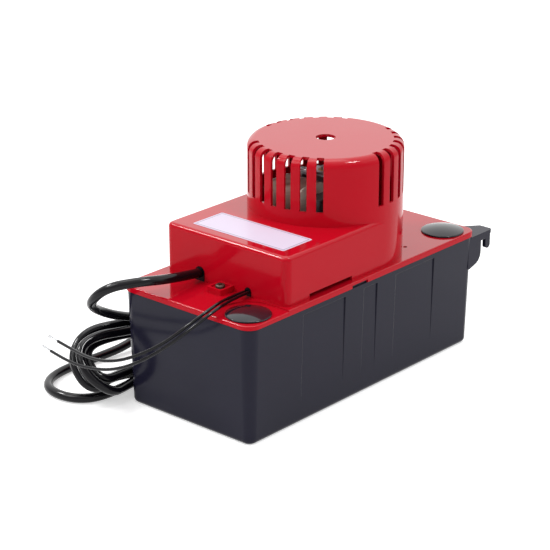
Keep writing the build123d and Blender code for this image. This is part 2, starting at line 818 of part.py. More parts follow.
keep("impeller", make_impeller())


def hose(points, radii, outer, inner):
    """A hose along straight runs joined by tangent arcs."""
    with BuildLine() as path:
        FilletPolyline(*points, radius=radii)
    line = path.line
    ring = Plane(origin=line @ 0, z_dir=line % 0) * (Circle(outer) - Circle(inner))
    return sweep(ring, path=line)


hose_points = [(outlet_end, outlet_y, outlet_z), (outlet_end + 20, outlet_y, outlet_z),
               (valve_at[0], valve_at[1], outlet_z), (valve_at[0], valve_at[1], valve_bottom)]
keep("discharge_tube", hose(hose_points, [20.0, 16.0], outlet_od / 2, outlet_od / 2 - hose_wall))


# ---------------------------------------------------------------- check valve
def hexagon(across, bottom, top, at):
    """A hexagonal block by its width across flats."""
    plan = Pos(at[0], at[1], bottom) * RegularPolygon(across / 2, 6, major_radius=False)
    return extrude(plan, amount=top - bottom)


seat_z = 87.0
gasket_thick = 1.5
hex_bottom = deck_top + gasket_thick
chamber_r = valve_od / 2 - valve_wall
valve_body = rod(valve_od / 2, valve_bottom, valve_body_top, valve_at)
valve_body += hexagon(valve_hex, hex_bottom, hex_bottom + valve_hex_h, valve_at)
valve_body -= rod(outlet_od / 2 - hose_wall, valve_bottom - 1, seat_z - 2.9, valve_at)
valve_body -= rod(seat_bore / 2, seat_z - 3, seat_z + 1, valve_at)
valve_body -= rod(chamber_r, seat_z, valve_body_top + 1, valve_at)
keep("check_valve_body", valve_body)
keep("valve_gasket", tube(valve_hex / 2, valve_od / 2 + 0.1, deck_top, hex_bottom, valve_at))
nut_top = deck_bottom
nut = hexagon(valve_nut_w, nut_top - valve_nut_h, nut_top, valve_at)
nut -= rod(valve_od / 2 + 0.02, nut_top - 2 * valve_nut_h, nut_top + 1, valve_at)
keep("valve_nut", nut)

poppet_top = seat_z + 2.4
spring_top = valve_body_top - thread_depth
with BuildSketch(Plane.XZ) as poppet_half:
    Polygon((0, seat_z + 0.05 - 2.2), (2.2, seat_z + 0.05 - 2.2), (3.4, seat_z + 0.05),
            (poppet_d / 2, seat_z + 0.05), (poppet_d / 2, poppet_top), (1.6, poppet_top),
            (1.6, poppet_top + 9), (0, poppet_top + 9), align=None)
keep("valve_poppet", Pos(valve_at[0], valve_at[1], 0) * revolve(poppet_half.sketch, Axis.Z))

spring_wire = 0.9
spring_r = 4.2
spring_free = spring_top - poppet_top - spring_wire - 0.1
coil_line = Helix(pitch=spring_free / 5, height=spring_free, radius=spring_r)
spring_section = Plane(origin=coil_line @ 0, z_dir=coil_line % 0) * Circle(spring_wire / 2)
spring = sweep(spring_section, path=coil_line, is_frenet=True)
keep("poppet_spring", Pos(valve_at[0], valve_at[1], poppet_top + spring_wire / 2 + 0.05) * spring)

spigot_top = valve_body_top + 4.0 + spigot_length
spigot = rod(chamber_r - 0.02, spring_top, valve_body_top, valve_at)
spigot += hexagon(20.0, valve_body_top, valve_body_top + 4.0, valve_at)
spigot_tube = rod(spigot_od / 2, valve_body_top + 3.9, spigot_top, valve_at)
spigot_tube = chamfer(edges_at_height(spigot_tube, spigot_top), 0.8)
spigot = spigot + spigot_tube - rod(spigot_bore / 2, spring_top - 1, spigot_top + 1, valve_at)
keep("discharge_spigot", spigot)

# ---------------------------------------------------------------- float and switches
pivot_x, pivot_z = pivot
float_x, float_z = float_centre
float_top = float_z + float_height / 2
hub_r = 4.5


def make_float():
    """The hollow-moulded float, modelled as its outer form with rounded edges."""
    body = Pos(float_x, 0, float_z) * Box(float_length, float_width, float_height)
    return fillet(body.edges(), 4.0)


def make_arm():
    """The float arm: hub on the pin, a sloping bar and a plate on top of the float."""
    half = arm_width / 2
    knee = float_x + 20.0
    end = float_x - 18.0
    plane = Plane(origin=(0, half, 0), x_dir=(1, 0, 0), z_dir=(0, -1, 0))
    with BuildSketch(plane) as side:
        Polygon((pivot_x, pivot_z + 3), (knee, float_top + arm_thick + 1.2), (end, float_top + arm_thick),
                (end, float_top), (knee, float_top), (pivot_x, pivot_z - 3), align=None)
    body = extrude(side.sketch, amount=arm_width)
    body += along_y(hub_r, -half, half, pivot_x, pivot_z)
    return body - along_y(pin_d / 2 + pin_fit, -half - 1, half + 1, pivot_x, pivot_z)


keep("float", make_float())
keep("float_arm", make_arm())


def make_float_bracket():
    """The bracket under the lid whose two ears carry the float's pivot pin."""
    inner = arm_width / 2 + ear_gap
    body = block(float_foot, (-foot_half, foot_half), (deck_bottom - foot_thick, deck_bottom))
    for side in (-1, 1):
        ear_y = sorted((side * inner, side * (inner + bracket_ear)))
        body += block((pivot_x - 5, pivot_x + 5), ear_y, (pivot_z, deck_bottom - 2))
        body += along_y(5.0, ear_y[0], ear_y[1], pivot_x, pivot_z)
    body -= along_y(pin_d / 2, -20, 20, pivot_x, pivot_z)
    for at in bracket_screw_places(float_foot):
        body -= rod(column_screw_d / 2, deck_bottom - foot_thick - 1, deck_bottom + 1, at)
    return body


keep("float_bracket", make_float_bracket())
pin_half = arm_width / 2 + ear_gap + bracket_ear + 1
keep("float_pivot_pin", along_y(pin_d / 2, -pin_half, pin_half, pivot_x, pivot_z))

arm_slope = (pivot_z + 3 - float_top - arm_thick - 1.2) / (pivot_x - float_x - 20.0)
rod_bottom = pivot_z + 3 - rod_reach * arm_slope + rod_gap
bar_top = bar_bottom + bar_height
push_rod = rod(rod_d / 2, rod_bottom + rod_d / 2, bar_bottom + 0.5, (rod_x, 0))
push_rod += Pos(rod_x, 0, rod_bottom + rod_d / 2) * Sphere(rod_d / 2)
push_rod += block((rod_x - bar_depth / 2, rod_x + bar_depth / 2), (-bar_half, bar_half),
                  (bar_bottom, bar_top))
keep("push_rod", push_rod)

slope = math.radians(lever_slope)
bar_edge = lever_length + bar_depth / 2
lever_x = rod_x - lever_length
lever_z = bar_top + lever_gap + bar_edge * math.tan(slope) + lever_thick / 2 / math.cos(slope)
switch_low = lever_z + lever_eye_r + 0.4
switch_high = switch_low + switch_height
switch_y = switch_plate / 2 + switch_width / 2
switch_x = (lever_x - 4.0, lever_x - 4.0 + switch_length)
plunger_x = lever_x + plunger_at
plunger_near = plunger_at - plunger_width / 2
plunger_low = (lever_z - plunger_near * math.tan(slope) + lever_thick / 2 / math.cos(slope) + plunger_gap)
pocket_gap = 0.15
cheek = 1.0
cheek_gap = 0.35
mount_screw = (switch_x[0] + 6.0, switch_high - 4.0)


def make_switch(side):
    """A snap switch body with its plunger pocket, the cheeks of its lever and three terminals."""
    y = side * switch_y
    body = block(switch_x, (y - switch_width / 2, y + switch_width / 2), (switch_low, switch_high))
    inner = lever_width / 2 + cheek_gap
    for hand in (-1, 1):
        span = sorted((y + hand * inner, y + hand * (inner + cheek)))
        body += block((lever_x - 1.8, lever_x + 1.8), span, (lever_z, switch_low + 0.5))
        body += along_y(1.8, span[0], span[1], lever_x, lever_z)
    body += along_y(lever_pin_r, y - inner - cheek, y + inner + cheek, lever_x, lever_z)
    reach = plunger_width / 2 + pocket_gap
    body -= block((plunger_x - reach, plunger_x + reach), (y - reach, y + reach),
                  (switch_low - 1, switch_low + 6))
    return body - along_y(switch_screw_d / 2, -40, 40, mount_screw[0], mount_screw[1])


def make_lever(side):
    """A switch lever: a strip that slopes down from its pivot to the push rod's bar."""
    length = bar_edge / math.cos(slope)
    strip = Pos(length / 2, 0, 0) * Box(length, lever_width, lever_thick)
    eye = Rot(90, 0, 0) * Cylinder(lever_eye_r, lever_width)
    body = Pos(lever_x, side * switch_y, lever_z) * (Rot(0, lever_slope, 0) * strip + eye)
    return body - along_y(lever_pin_r + lever_pin_fit, -40, 40, lever_x, lever_z)


def make_plunger(side):
    """A switch plunger, square in section, that stands out under the switch body."""
    half = plunger_width / 2
    y = side * switch_y
    return block((plunger_x - half, plunger_x + half), (y - half, y + half),
                 (plunger_low, plunger_low + plunger_length))


for side, name in ((1, "run"), (-1, "safety")):
    keep(f"{name}_switch", make_switch(side))
    keep(f"{name}_switch_lever", make_lever(side))
    keep(f"{name}_switch_plunger", make_plunger(side))

plate_low_x = rod_x - rod_d / 2 - 4.0
switch_bracket = block(switch_foot, (-foot_half, foot_half), (deck_top, deck_top + switch_foot_thick))
switch_bracket += block((switch_foot[0], plate_low_x), (-switch_plate / 2, switch_plate / 2),
                        (deck_top, switch_high - 1))
for at in bracket_screw_places(switch_foot):
    switch_bracket -= rod(column_screw_d / 2, deck_top - 1, deck_top + 3, at)
keep("switch_bracket", switch_bracket - along_y(switch_screw_d / 2, -9, 9, mount_screw[0], mount_screw[1]))
half_pair = switch_y + switch_width / 2
bolt = along_y(switch_screw_d / 2 - 0.05, -half_pair, half_pair, mount_screw[0], mount_screw[1])
for side in (-1, 1):
    span = sorted((side * half_pair, side * (half_pair + 2.0)))
    bolt += along_y(2.6, span[0], span[1], mount_screw[0], mount_screw[1])
keep("switch_bolt", bolt)
foot_screws = [make_screw(at, deck_top + switch_foot_thick, deck_bottom - 5, column_screw_d - 0.1,
                          *bracket_screw_head)
               for at in bracket_screw_places(switch_foot)]
foot_screws += [make_screw(at, deck_top, deck_bottom - foot_thick - 2, column_screw_d - 0.1,
                           *bracket_screw_head)
                for at in bracket_screw_places(float_foot)]
keep("bracket_screws", group(*foot_screws))

# ---------------------------------------------------------------- mains cord, its coil and plug
mains_route = [
    (cover_front_x - bush_proud, mains_gate_y, mains_exit_z), (-118, 24.4, 101.5), (-142, 32, 104.5),
    (-158, 47, 101), (-159, 64, 86), (-142, 76, 72), (-116, 78, 58), (-90, 79, 46)]
tail_route = [
    (-95, 76, 3.7), (-122, 74, 3.7), (-146, 76, 3.7), (-158, 90, 3.7), (-158, 112, 3.7), (-144, 127, 3.7),
    (-118, 131, 3.7), (-90, 128, 3.7), (-64, 124, 6), (-38, 124, 12)]
coil_loop = [
    (-60, 88, 32), (-88, 79, 43), (-112, 80, 47), (-136, 89, 42), (-149, 91, 27), (-147, 76, 10),
    (-130, 67, 9), (-104, 70, 9), (-74, 71.2, 9), (-44, 73.6, 9), (-18, 78, 9), (-6, 91, 9), (-20, 103, 9.5),
    (-42, 97, 20)]
lead_routes = [
    [(cover_front_x - bush_proud, lead_gate_y + lead_pitch / 2, lead_exit_z), (-112, -23, 97.6),
     (-135, -28, 97), (-151, -22, 88), (-158, -6, 73), (-168, 12, 61.5), (-172, 31, 54), (-170, 53, 49.5),
     (-165, 76, 48), (-162, 95, 48.5)],
    [(cover_front_x - bush_proud, lead_gate_y - lead_pitch / 2, lead_exit_z), (-112, -26, 96.6),
     (-135, -31.5, 96.3), (-151, -24, 85.5), (-159, -7, 69.5), (-166, 12, 56), (-168, 34, 45.5),
     (-167, 56, 40), (-165, 80, 37), (-161, 104, 38)]]


def bend_radii(points):
    """The largest arc at each inner point of a route: 0.45 of the shorter run over tan(half turn)."""
    radii = []
    for before, here, after in zip(points, points[1:], points[2:]):
        first = Vector(*here) - Vector(*before)
        second = Vector(*after) - Vector(*here)
        half_turn = math.radians(first.get_angle(second)) / 2
        radii.append(0.45 * min(first.length, second.length) / math.tan(half_turn))
    return radii


def make_cord(name, points, radius):
    """A round cord along straight runs joined by tangent arcs, with its radii printed."""
    radii = bend_radii(points)
    with BuildLine() as path:
        FilletPolyline(*points, radius=radii)
    line = path.wire()
    body = sweep(Plane(origin=line @ 0, z_dir=line % 0) * Circle(radius), path=line)
    ratio = body.volume / (math.pi * radius ** 2 * line.length)
    print(name, "length", round(line.length, 1), "volume ratio", round(ratio, 4),
          "radii", [round(r) for r in radii])
    return body


keep("mains_cord", make_cord("mains_cord", mains_route, cord_d / 2))
keep("mains_cord_tail", make_cord("mains_cord_tail", tail_route, cord_d / 2))


def make_coil():
    """The coil's outer form: a round bundle swept round the loop, in two halves that are joined."""
    count = len(coil_loop)
    half = count // 2
    halves = []
    for start in (0, half):
        ring = [coil_loop[(start + index) % count] for index in range(half + 1)]
        enter = (Vector(*coil_loop[(start - 1) % count]) + Vector(*ring[0])) / 2
        leave = (Vector(*ring[-2]) + Vector(*ring[-1])) / 2
        with BuildLine() as path:
            FilletPolyline(enter, *ring[:-1], leave, radius=coil_bend_r)
        line = path.wire()
        halves.append(sweep(Plane(origin=line @ 0, z_dir=line % 0) * Circle(coil_bundle_r), path=line))
    return halves[0] + halves[1]


keep("mains_cord_coil", make_coil())

for route, name in zip(lead_routes, ("alarm_lead_1", "alarm_lead_2")):
    keep(name, make_cord(name, route, lead_d / 2))
    along = Vector(*route[-1]) - Vector(*route[-2])
    core = Plane(origin=route[-1], z_dir=along) * Circle(lead_core_d / 2)
    keep(name + "_end", extrude(core, amount=lead_bare))

plug_x, plug_y, plug_z = tail_route[-1]


def make_plug_body():
    """The moulded plug: a waisted grip between the cord's neck and the broad front face."""
    stations = [(0.0, plug_neck_d, plug_neck_d, 5.5),
                (plug_length * 0.3, plug_width * 0.72, plug_height * 0.8, 5.5),
                (plug_length * 0.72, plug_width * 0.8, plug_height * 0.84, 5.5),
                (plug_length * 0.9, plug_width, plug_height, 5.5), (plug_length, plug_width, plug_height, 5.5)]
    faces = [Plane.YZ.offset(plug_x + d) * Pos(plug_y, plug_z) * RectangleRounded(w, h, r)
             for d, w, h, r in stations]
    return loft([f.face() for f in faces], ruled=True)


keep("plug_body", make_plug_body())
front = plug_x + plug_length
length, thick, high = blade
pins = [block((front, front + length), (plug_y + side * blade_pitch / 2 - thick / 2,
                                         plug_y + side * blade_pitch / 2 + thick / 2),
              (plug_z - high / 2 - 3, plug_z + high / 2 - 3)) for side in (-1, 1)]
pins.append(Pos(front + ground_pin_length / 2, plug_y, plug_z + 6) * Rot(0, 90, 0)
            * Cylinder(ground_pin_d / 2, ground_pin_length))
keep("plug_pins", group(*pins))

total = sum(len(body.solids()) for body in part_list.values())
print("built", len(part_list), "sub-parts,", total, "solids")
for name, body in part_list.items():
    box = body.bounding_box()
    print(f"{name:24s} x {box.min.X:7.1f} {box.max.X:7.1f}  y {box.min.Y:6.1f} {box.max.Y:6.1f}"
          f"  z {box.min.Z:6.1f} {box.max.Z:6.1f}  solids {len(body.solids())}  volume {body.volume:9.0f}")
print("lever pivot", round(lever_x, 2), round(lever_z, 3))
print("switch", round(switch_low, 2), round(switch_high, 2))
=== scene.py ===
"""Looks of a tank-type condensate pump: finishes, cords, label and studio."""
import logging
import math
from dataclasses import dataclass, field
from enum import Enum

import bmesh
import bpy
from mathutils import Matrix, Vector


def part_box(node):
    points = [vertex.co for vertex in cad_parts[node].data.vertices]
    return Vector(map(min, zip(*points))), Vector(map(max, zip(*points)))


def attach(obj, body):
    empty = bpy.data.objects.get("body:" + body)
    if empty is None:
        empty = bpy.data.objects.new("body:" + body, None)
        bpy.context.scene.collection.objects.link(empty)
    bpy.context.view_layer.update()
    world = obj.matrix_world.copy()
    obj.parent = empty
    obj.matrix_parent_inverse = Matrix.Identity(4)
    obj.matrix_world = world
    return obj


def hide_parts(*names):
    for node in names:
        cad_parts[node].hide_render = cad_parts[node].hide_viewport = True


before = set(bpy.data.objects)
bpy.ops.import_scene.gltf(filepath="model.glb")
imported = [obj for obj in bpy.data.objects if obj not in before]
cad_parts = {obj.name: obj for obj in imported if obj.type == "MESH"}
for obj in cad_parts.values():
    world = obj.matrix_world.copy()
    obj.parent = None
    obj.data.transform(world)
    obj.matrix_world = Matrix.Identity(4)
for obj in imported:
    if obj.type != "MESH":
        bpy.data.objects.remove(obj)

logging.basicConfig(level=logging.INFO, format="%(message)s")
log = logging.getLogger("condensate_pump")

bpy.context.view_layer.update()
MM = 0.001
CORD_STEPS = 8
CORD_ROUNDNESS = 6
CORD_ORDER = 3
NOISE_MIDDLE = 0.5

Point = tuple[float, float, float]
Colour = tuple[float, float, float]
Band = tuple[float, float]
Socket = bpy.types.NodeSocket
Feeds = dict[str | int, Socket | float | tuple | Vector]


def srgb(red: int, green: int, blue: int) -> Colour:
    """Turns an 8-bit screen colour into linear light.

    Args:
        red, green, blue: The colour as it is seen, 0 to 255.

    Returns:
        The linear colour.
    """
    def channel(value: int) -> float:
        """One channel, by the standard curve."""
        part = value / 255
        return part / 12.92 if part <= 0.04045 else ((part + 0.055) / 1.055) ** 2.4
    return channel(red), channel(green), channel(blue)


# ---------------------------------------------------------------- shared surface effects
@dataclass(frozen=True)
class Cloud:
    """A cloudy pattern, by its waves to a metre and how many finer layers lie on them."""

    waves: float
    layers: float


@dataclass
class NodePlan:
    """Adds nodes to one shader tree and joins them up."""

    tree: bpy.types.NodeTree

    def feed(self, node: bpy.types.Node, feeds: Feeds) -> None:
        """Links or sets a node's inputs.

        Args:
            node: The node to feed.
            feeds: What goes into each input, by its name or number: an output or a plain value.
        """
        for key, source in feeds.items():
            if isinstance(source, Socket):
                self.tree.links.new(source, node.inputs[key])
            else:
                node.inputs[key].default_value = source

    def node(self, kind: str, feeds: Feeds, **options: object) -> bpy.types.Node:
        """Adds a node with its options set and its inputs fed.

        Args:
            kind: The node's type.
            feeds: What goes into each input, by its name or number.
            options: The node's own settings.

        Returns:
            The node.
        """
        node = self.tree.nodes.new(kind)
        for option, value in options.items():
            setattr(node, option, value)
        self.feed(node, feeds)
        return node

    def place(self) -> Socket:
        """Returns the surface point in the frame's metres."""
        return self.node("ShaderNodeTexCoord", {}).outputs["Object"]

    def upward(self) -> Socket:
        """Returns how far the surface faces up, 1 on a level top."""
        facing = self.node("ShaderNodeNewGeometry", {}).outputs["Normal"]
        return self.node("ShaderNodeSeparateXYZ", {"Vector": facing}).outputs["Z"]

    def noise(self, place: Socket, cloud: Cloud) -> Socket:
        """Returns the value of a cloudy pattern at a place."""
        feeds = {"Vector": place, "Scale": cloud.waves, "Detail": cloud.layers}
        return self.node("ShaderNodeTexNoise", feeds).outputs["Fac"]

    def maths(self, operation: str, *values: Socket | float, **options: object) -> Socket:
        """Returns the result of one operation on two or three values."""
        feeds = dict(enumerate(values))
        return self.node("ShaderNodeMath", feeds, operation=operation, **options).outputs[0]

    def band(self, value: Socket, ends: Band, **options: object) -> Socket:
        """Returns 0 at the band's low end, 1 at its high end and the rise between."""
        feeds = {"Value": value, "From Min": ends[0], "From Max": ends[1]}
        return self.node("ShaderNodeMapRange", feeds, **options).outputs["Result"]

    def within(self, value: Socket, ends: Band) -> Socket:
        """Returns a value of 0 to 1 fitted between two ends."""
        feeds = {"Value": value, "To Min": ends[0], "To Max": ends[1]}
        return self.node("ShaderNodeMapRange", feeds).outputs["Result"]

    def mix(self, share: Socket, first: Socket | tuple, second: Socket | tuple) -> Socket:
        """Turns one colour into another.

        Args:
            share: How far the second shows, 0 to 1.
            first: The colour at 0.
            second: The colour at 1.

        Returns:
            The mixed colour.
        """
        mixed = self.node("ShaderNodeMix", {}, data_type="RGBA")
        self.feed(mixed, {"Factor": share, "A": first, "B": second})
        return mixed.outputs["Result"]


@dataclass
class Effects:
    """Shader node groups that several finishes share."""

    shade: Cloud = Cloud(14.0, 3.0)
    grain: Cloud = Cloud(900.0, 2.0)
    grain_share: float = 0.25
    peel: Cloud = Cloud(120.0, 1.0)
    scuff: Cloud = Cloud(1.0, 4.0)
    scuff_turn: Point = (0.3, 0.2, 0.7)
    scuff_stretch: Point = (300.0, 18.0, 40.0)
    scuff_band: Band = (0.66, 0.74)
    streak: Cloud = Cloud(1.0, 3.0)
    streak_share: float = 0.25
    stain: Cloud = Cloud(60.0, 4.0)
    stain_band: Band = (0.5, 0.8)
    upward_band: Band = (0.35, 0.95)
    gloss: Cloud = Cloud(22.0, 2.0)
    gloss_ends: Band = (0.82, 1.0)
    moulding: bpy.types.NodeTree = field(init=False)
    handling: bpy.types.NodeTree = field(init=False)
    brushing: bpy.types.NodeTree = field(init=False)
    polish: bpy.types.NodeTree = field(init=False)
    frame_print: bpy.types.NodeTree = field(init=False)

    def __post_init__(self) -> None:
        """Builds each group once."""
        self.moulding = self._moulding()
        self.handling = self._handling()
        self.brushing = self._brushing()
        self.polish = self._polish()
        self.frame_print = self._frame_print()

    @staticmethod
    def _new_group(name: str, inputs: list[tuple[str, str, float | tuple]],
                   outputs: list[tuple[str, str]]) -> tuple[NodePlan, dict[str, Socket], bpy.types.Node]:
        """Starts a group with named sockets.

        Args:
            name: The group's name.
            inputs: Name, socket type and default of each input.
            outputs: Name and socket type of each output.

        Returns:
            The plan of its tree, what it is given by name, and its output node.
        """
        tree = bpy.data.node_groups.new(name, "ShaderNodeTree")
        for label, kind, default in inputs:
            socket = tree.interface.new_socket(name=label, in_out="INPUT", socket_type=kind)
            socket.default_value = default
        for label, kind in outputs:
            tree.interface.new_socket(name=label, in_out="OUTPUT", socket_type=kind)
        given = tree.nodes.new("NodeGroupInput")
        made = tree.nodes.new("NodeGroupOutput")
        return NodePlan(tree), {label: given.outputs[label] for label, _, _ in inputs}, made

    def _moulding(self) -> bpy.types.NodeTree:
        """Injection-moulded plastic: slow shade drift, flow mottle and an orange-peel height.

        Returns:
            The group.
        """
        plan, given, made = self._new_group(
            "moulded_plastic_skin",
            [("Colour", "NodeSocketColor", (0.5, 0.5, 0.5, 1)), ("Drift", "NodeSocketFloat", 0.1),
             ("Roughness", "NodeSocketFloat", 0.2), ("Roughness Drift", "NodeSocketFloat", 0.05)],
            [("Colour", "NodeSocketColor"), ("Roughness", "NodeSocketFloat"), ("Height", "NodeSocketFloat")])
        place = plan.place()
        drift = plan.maths("SUBTRACT", plan.noise(place, self.shade), NOISE_MIDDLE)
        lightness = plan.maths("MULTIPLY_ADD", drift, given["Drift"], 1.0)
        shade = plan.node("ShaderNodeHueSaturation", {"Value": lightness, "Color": given["Colour"]})
        roughness = plan.maths("MULTIPLY_ADD", drift, given["Roughness Drift"], given["Roughness"])
        grain = plan.noise(place, self.grain)
        peel = plan.noise(place, self.peel)
        height = plan.maths("MULTIPLY_ADD", grain, self.grain_share, peel)
        plan.feed(made, {"Colour": shade.outputs["Color"], "Roughness": roughness, "Height": height})
        return plan.tree

    def _handling(self) -> bpy.types.NodeTree:
        """Faint hairline scuffs that dull the gloss.

        Returns:
            The group.
        """
        plan, given, made = self._new_group(
            "handling_marks",
            [("Roughness", "NodeSocketFloat", 0.2), ("Scuffs", "NodeSocketFloat", 0.1)],
            [("Roughness", "NodeSocketFloat")])
        stretched = plan.node("ShaderNodeMapping", {"Vector": plan.place(), "Rotation": self.scuff_turn,
                                                    "Scale": self.scuff_stretch})
        hair = plan.band(plan.noise(stretched.outputs["Vector"], self.scuff), self.scuff_band)
        scuff = plan.maths("MULTIPLY", hair, given["Scuffs"])
        plan.feed(made, {"Roughness": plan.maths("ADD", given["Roughness"], scuff, use_clamp=True)})
        return plan.tree

    def _brushing(self) -> bpy.types.NodeTree:
        """Drawn or rolled metal: streaks along one axis with a slight tarnish.

        Returns:
            The group.
        """
        plan, given, made = self._new_group(
            "drawn_metal",
            [("Colour", "NodeSocketColor", (0.6, 0.6, 0.6, 1)),
             ("Tarnish", "NodeSocketColor", (0.3, 0.3, 0.3, 1)),
             ("Roughness", "NodeSocketFloat", 0.3), ("Stretch", "NodeSocketVector", (40.0, 900.0, 900.0))],
            [("Colour", "NodeSocketColor"), ("Roughness", "NodeSocketFloat"), ("Height", "NodeSocketFloat")])
        place = plan.place()
        stretched = plan.node("ShaderNodeMapping", {"Vector": place, "Scale": given["Stretch"]})
        streak = plan.noise(stretched.outputs["Vector"], self.streak)
        stain = plan.band(plan.noise(place, self.stain), self.stain_band)
        tinted = plan.mix(stain, given["Colour"], given["Tarnish"])
        roughness = plan.maths("MULTIPLY_ADD", streak, self.streak_share, given["Roughness"])
        plan.feed(made, {"Colour": tinted, "Roughness": roughness, "Height": streak})
        return plan.tree

    def _polish(self) -> bpy.types.NodeTree:
        """Extra gloss where the skin faces up, as the mould's polished half left it.

        Returns:
            The group.
        """
        plan, given, made = self._new_group(
            "top_polish", [("Amount", "NodeSocketFloat", 1.0)], [("Mask", "NodeSocketFloat")])
        up = plan.band(plan.upward(), self.upward_band, interpolation_type="SMOOTHSTEP")
        worn = plan.within(plan.noise(plan.place(), self.gloss), self.gloss_ends)
        plan.feed(made, {"Mask": plan.maths("MULTIPLY", plan.maths("MULTIPLY", up, given["Amount"]), worn)})
        return plan.tree

    def _frame_print(self) -> bpy.types.NodeTree:
        """Printed frame of a flat film: one line that runs a set distance inside its edge.

        Returns:
            The group.
        """
        plan, given, made = self._new_group(
            "printed_frame",
            [("Centre", "NodeSocketVector", (0.0, 0.0, 0.0)),
             ("Half Size", "NodeSocketVector", (0.1, 0.1, 1.0)),
             ("Inset", "NodeSocketFloat", 0.0015), ("Line", "NodeSocketFloat", 0.0004)],
            [("Mask", "NodeSocketFloat")])
        kind = "ShaderNodeVectorMath"
        moved = plan.node(kind, {0: plan.place(), 1: given["Centre"]}, operation="SUBTRACT").outputs["Vector"]
        mirrored = plan.node(kind, {0: moved}, operation="ABSOLUTE").outputs["Vector"]
        margin = plan.node(kind, {0: given["Half Size"], 1: mirrored}, operation="SUBTRACT").outputs["Vector"]
        split = plan.node("ShaderNodeSeparateXYZ", {"Vector": margin})
        nearest = plan.maths("MINIMUM", split.outputs["X"], split.outputs["Y"])
        plan.feed(made, {"Mask": plan.maths("COMPARE", nearest, given["Inset"], given["Line"])})
        return plan.tree


# ---------------------------------------------------------------- finishes
@dataclass(frozen=True)
class MouldedFinish:
    """A moulded plastic or rubber skin with its own gloss, drift and marks."""

    name: str
    colour: Colour
    roughness: float = 0.2
    drift: float = 0.12
    roughness_drift: float = 0.08
    scuffs: float = 0.05
    peel: float = 0.04
    peel_height: float = 0.0004
    polish: float = 0.0
    polish_roughness: float = 0.05
    specular: float = 0.5
    edge_round: float = 0.0
    edge_samples: int = 6

    def material(self, effects: Effects) -> bpy.types.Material:
        """Builds the material.

        Args:
            effects: The shared node groups.

        Returns:
            The material, ready to assign.
        """
        material = bpy.data.materials.new(self.name)
        material.use_nodes = True
        plan = NodePlan(material.node_tree)
        shader = material.node_tree.nodes["Principled BSDF"]
        skin = plan.node("ShaderNodeGroup", {}, node_tree=effects.moulding)
        plan.feed(skin, {"Colour": (*self.colour, 1), "Drift": self.drift, "Roughness": self.roughness,
                         "Roughness Drift": self.roughness_drift})
        marks = plan.node("ShaderNodeGroup", {}, node_tree=effects.handling)
        plan.feed(marks, {"Roughness": skin.outputs["Roughness"], "Scuffs": self.scuffs})
        bump = plan.node("ShaderNodeBump", {"Strength": self.peel, "Distance": self.peel_height,
                                            "Height": skin.outputs["Height"]})
        plan.feed(shader, {"Base Color": skin.outputs["Colour"], "Roughness": marks.outputs["Roughness"],
                           "Normal": bump.outputs["Normal"], "Specular IOR Level": self.specular})
        if self.edge_round:
            softened = plan.node("ShaderNodeBevel", {"Radius": self.edge_round}, samples=self.edge_samples)
            plan.feed(bump, {"Normal": softened.outputs["Normal"]})
        if self.polish:
            gloss = plan.node("ShaderNodeGroup", {}, node_tree=effects.polish)
            plan.feed(gloss, {"Amount": self.polish})
            plan.feed(shader, {"Coat Weight": gloss.outputs["Mask"], "Coat Roughness": self.polish_roughness})
        return material


@dataclass(frozen=True)
class LabelFinish(MouldedFinish):
    """A blank stuck-on film with a printed frame line and no print inside it."""

    node: str = "rating_label"
    inset: float = 0.0016
    line: float = 0.0005
    ink: Colour = srgb(172, 164, 184)

    def material(self, effects: Effects) -> bpy.types.Material:
        """Builds the film and lays the frame line over its colour.

        Args:
            effects: The shared node groups.

        Returns:
            The material, ready to assign.
        """
        material = super().material(effects)
        plan = NodePlan(material.node_tree)
        shader = material.node_tree.nodes["Principled BSDF"]
        low, high = (Vector(corner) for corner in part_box(self.node))
        outline = plan.node("ShaderNodeGroup", {}, node_tree=effects.frame_print)
        plan.feed(outline, {"Centre": (low + high) / 2, "Half Size": (high - low) / 2,
                            "Inset": self.inset, "Line": self.line})
        film = shader.inputs["Base Color"].links[0].from_socket
        plan.feed(shader, {"Base Color": plan.mix(outline.outputs["Mask"], film, (*self.ink, 1))})
        return material


@dataclass(frozen=True)
class MetalFinish:
    """A drawn, rolled or cast metal surface."""

    name: str
    colour: Colour
    tarnish: Colour
    roughness: float = 0.25
    stretch: Point = (40.0, 900.0, 900.0)
    relief: float = 0.05
    relief_height: float = 0.0003

    def material(self, effects: Effects) -> bpy.types.Material:
        """Builds the material.

        Args:
            effects: The shared node groups.

        Returns:
            The material, ready to assign.
        """
        material = bpy.data.materials.new(self.name)
        material.use_nodes = True
        plan = NodePlan(material.node_tree)
        grain = plan.node("ShaderNodeGroup", {}, node_tree=effects.brushing)
        plan.feed(grain, {"Colour": (*self.colour, 1), "Tarnish": (*self.tarnish, 1),
                          "Roughness": self.roughness, "Stretch": self.stretch})
        bump = plan.node("ShaderNodeBump", {"Strength": self.relief, "Distance": self.relief_height,
                                            "Height": grain.outputs["Height"]})
        plan.feed(material.node_tree.nodes["Principled BSDF"],
                  {"Base Color": grain.outputs["Colour"], "Metallic": 1.0,
                   "Roughness": grain.outputs["Roughness"], "Normal": bump.outputs["Normal"]})
        return material


